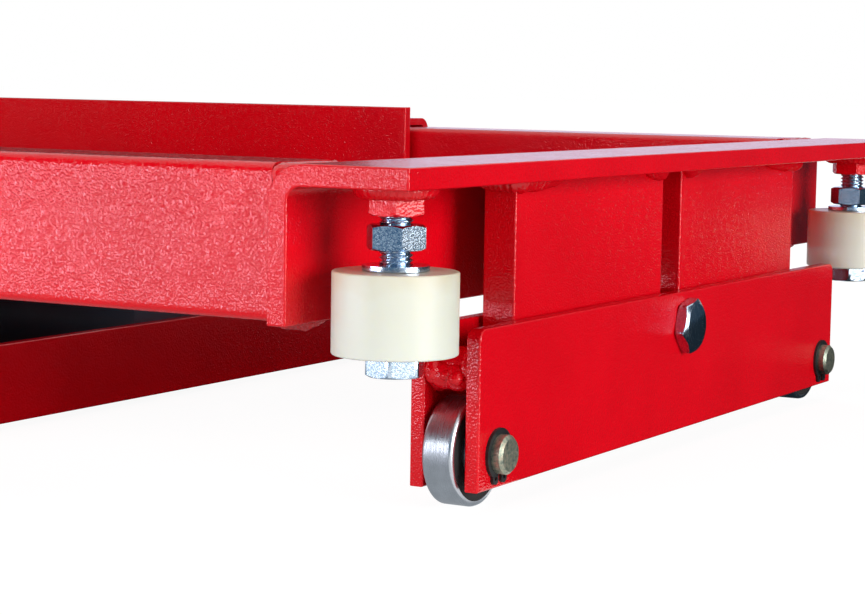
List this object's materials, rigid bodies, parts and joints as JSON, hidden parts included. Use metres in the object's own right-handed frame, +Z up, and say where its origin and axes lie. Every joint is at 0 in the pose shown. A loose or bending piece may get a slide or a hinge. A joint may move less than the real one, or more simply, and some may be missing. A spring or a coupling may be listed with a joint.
{
  "type": "rolling bridge jack",
  "caption": "Low lifting frame that rolls along two rails on rocking wheel carriages, with telescopic arms, guide rollers and a hydraulic scissor platform.",
  "frame": {"origin": "on the rails' rolling surface, midway between the rails and midway along the jack", "axes": "+X across the jack towards the end that the picture shows, +Y along the rails, +Z up"},
  "size_m": [1.073, 0.5294, 0.143],
  "materials": {
    "red_paint": "gloss powder coat with a fine orange-peel texture",
    "black_paint": "satin black paint",
    "zinc_plate": "bright bluish zinc plate",
    "olive_zinc": "olive-gold chromated zinc plate",
    "bearing_steel": "ground and polished bearing steel",
    "turned_steel": "turned steel, lightly oiled",
    "hard_chrome": "polished hard chrome",
    "black_spring_steel": "black phosphated spring steel",
    "bronze": "sintered bronze",
    "natural_nylon": "turned natural nylon, slightly translucent",
    "seal_rubber": "smooth black rubber",
    "pad_rubber": "moulded black rubber",
    "black_plastic": "moulded black plastic"
  },
  "bodies": {
    "frame": {"side_plate_front": "red_paint", "side_plate_rear": "red_paint", "sleeve_front": "red_paint", "sleeve_rear": "red_paint", "cross_plates": "red_paint", "base_tracks": "red_paint", "ram_barrel": "black_paint", "ram_gland": "black_paint", "pump_block": "black_paint", "oil_pipe": "zinc_plate"},
    "scissor_outer": {"outer_legs": "red_paint", "centre_pins": "turned_steel"},
    "scissor_inner": {"inner_legs": "red_paint", "lower_axle": "turned_steel"},
    "lower_rollers": {"base_rollers": "turned_steel"},
    "upper_rollers": {"top_rollers": "turned_steel"},
    "lift_platform": {"platform": "red_paint"},
    "ram_piston": {"ram_rod": "hard_chrome"},
    "pump_handle": {"handle_socket": "zinc_plate"},
    "release_valve": {"release_knob": "black_plastic"},
    "end_right": {"telescopic_arms_right": "red_paint", "rail_bracket_right": "red_paint", "web_plates_right": "red_paint", "pivot_bush_right": "bronze", "guide_bolts_right": "zinc_plate", "guide_weld_nuts_right": "red_paint", "guide_lock_nuts_right": "zinc_plate"},
    "carriage_right": {"carriage_frame_right": "red_paint", "pivot_bolt_right": "zinc_plate", "wheel_hubs_right": "bearing_steel", "axle_pins_right": "olive_zinc", "circlips_right": "black_spring_steel"},
    "front_right_wheel": {"wheel_front_right": "bearing_steel", "wheel_seals_front_right": "seal_rubber"},
    "front_right_guide": {"guide_roller_front_right": "natural_nylon"},
    "rear_right_wheel": {"wheel_rear_right": "bearing_steel", "wheel_seals_rear_right": "seal_rubber"},
    "rear_right_guide": {"guide_roller_rear_right": "natural_nylon"},
    "saddle_right": {"saddle_arm_right": "red_paint", "saddle_pad_right": "pad_rubber"},
    "end_left": {"telescopic_arms_left": "red_paint", "rail_bracket_left": "red_paint", "web_plates_left": "red_paint", "pivot_bush_left": "bronze", "guide_bolts_left": "zinc_plate", "guide_weld_nuts_left": "red_paint", "guide_lock_nuts_left": "zinc_plate"},
    "carriage_left": {"carriage_frame_left": "red_paint", "pivot_bolt_left": "zinc_plate", "wheel_hubs_left": "bearing_steel", "axle_pins_left": "olive_zinc", "circlips_left": "black_spring_steel"},
    "front_left_wheel": {"wheel_front_left": "bearing_steel", "wheel_seals_front_left": "seal_rubber"},
    "front_left_guide": {"guide_roller_front_left": "natural_nylon"},
    "rear_left_wheel": {"wheel_rear_left": "bearing_steel", "wheel_seals_rear_left": "seal_rubber"},
    "rear_left_guide": {"guide_roller_rear_left": "natural_nylon"},
    "saddle_left": {"saddle_arm_left": "red_paint", "saddle_pad_left": "pad_rubber"}
  },
  "joints": [
    {"name": "end_right_slide", "type": "slide", "parent": "frame", "child": "end_right", "axis": [1, 0, 0], "range_m": [-0.11, 0.02]},
    {"name": "carriage_right_rock", "type": "hinge", "parent": "end_right", "child": "carriage_right", "pos_m": [0.50745, 0, 0.054], "axis": [1, 0, 0], "range_deg": [-4, 4]},
    {"name": "front_right_wheel_spin", "type": "hinge", "parent": "carriage_right", "child": "front_right_wheel", "pos_m": [0.50745, -0.174, 0.021], "axis": [1, 0, 0], "continuous": true},
    {"name": "front_right_guide_spin", "type": "hinge", "parent": "end_right", "child": "front_right_guide", "pos_m": [0.514, -0.237, 0.079], "axis": [0, 0, 1], "continuous": true},
    {"name": "rear_right_wheel_spin", "type": "hinge", "parent": "carriage_right", "child": "rear_right_wheel", "pos_m": [0.50745, 0.174, 0.021], "axis": [1, 0, 0], "continuous": true},
    {"name": "rear_right_guide_spin", "type": "hinge", "parent": "end_right", "child": "rear_right_guide", "pos_m": [0.514, 0.237, 0.079], "axis": [0, 0, 1], "continuous": true},
    {"name": "end_left_slide", "type": "slide", "parent": "frame", "child": "end_left", "axis": [-1, 0, 0], "range_m": [-0.11, 0.02]},
    {"name": "carriage_left_rock", "type": "hinge", "parent": "end_left", "child": "carriage_left", "pos_m": [-0.50745, 0, 0.054], "axis": [1, 0, 0], "range_deg": [-4, 4]},
    {"name": "front_left_wheel_spin", "type": "hinge", "parent": "carriage_left", "child": "front_left_wheel", "pos_m": [-0.50745, -0.174, 0.021], "axis": [1, 0, 0], "continuous": true},
    {"name": "front_left_guide_spin", "type": "hinge", "parent": "end_left", "child": "front_left_guide", "pos_m": [-0.514, -0.237, 0.079], "axis": [0, 0, 1], "continuous": true},
    {"name": "rear_left_wheel_spin", "type": "hinge", "parent": "carriage_left", "child": "rear_left_wheel", "pos_m": [-0.50745, 0.174, 0.021], "axis": [1, 0, 0], "continuous": true},
    {"name": "rear_left_guide_spin", "type": "hinge", "parent": "end_left", "child": "rear_left_guide", "pos_m": [-0.514, 0.237, 0.079], "axis": [0, 0, 1], "continuous": true},
    {"name": "lift", "type": "hinge", "parent": "frame", "child": "scissor_outer", "pos_m": [0.195, 0, 0.04], "axis": [0, 1, 0], "range_deg": [0, 40]},
    {"name": "scissor_cross", "type": "hinge", "parent": "scissor_outer", "child": "scissor_inner", "pos_m": [-0.0039, 0, 0.06091], "axis": [0, 1, 0], "range_deg": [-80, 0]},
    {"name": "platform_hinge", "type": "hinge", "parent": "scissor_inner", "child": "lift_platform", "pos_m": [0.195, 0, 0.08181], "axis": [0, 1, 0], "range_deg": [0, 40]},
    {"name": "ram_eye", "type": "hinge", "parent": "scissor_inner", "child": "ram_piston", "pos_m": [-0.20281, 0, 0.04], "axis": [0, 1, 0], "range_deg": [0, 40]},
    {"name": "lower_roller_spin", "type": "hinge", "parent": "scissor_inner", "child": "lower_rollers", "pos_m": [-0.20281, 0, 0.04], "axis": [0, 1, 0], "continuous": true},
    {"name": "upper_roller_spin", "type": "hinge", "parent": "scissor_outer", "child": "upper_rollers", "pos_m": [-0.20281, 0, 0.08181], "axis": [0, 1, 0], "continuous": true},
    {"name": "saddle_right_slide", "type": "slide", "parent": "lift_platform", "child": "saddle_right", "axis": [1, 0, 0], "range_m": [0, 0.09]},
    {"name": "saddle_left_slide", "type": "slide", "parent": "lift_platform", "child": "saddle_left", "axis": [-1, 0, 0], "range_m": [0, 0.09]},
    {"name": "pump_stroke", "type": "hinge", "parent": "frame", "child": "pump_handle", "pos_m": [-0.278, -0.045, 0.056], "axis": [1, 0, 0], "range_deg": [-30, 30]},
    {"name": "release_turn", "type": "hinge", "parent": "frame", "child": "release_valve", "pos_m": [-0.306, 0.045, 0.022], "axis": [1, 0, 0], "range_deg": [0, 180]}
  ],
  "couplings": [
    {"joint": "scissor_cross", "follows": "lift", "ratio": -2},
    {"joint": "platform_hinge", "follows": "lift", "ratio": 1},
    {"joint": "ram_eye", "follows": "lift", "ratio": 1}
  ]
}
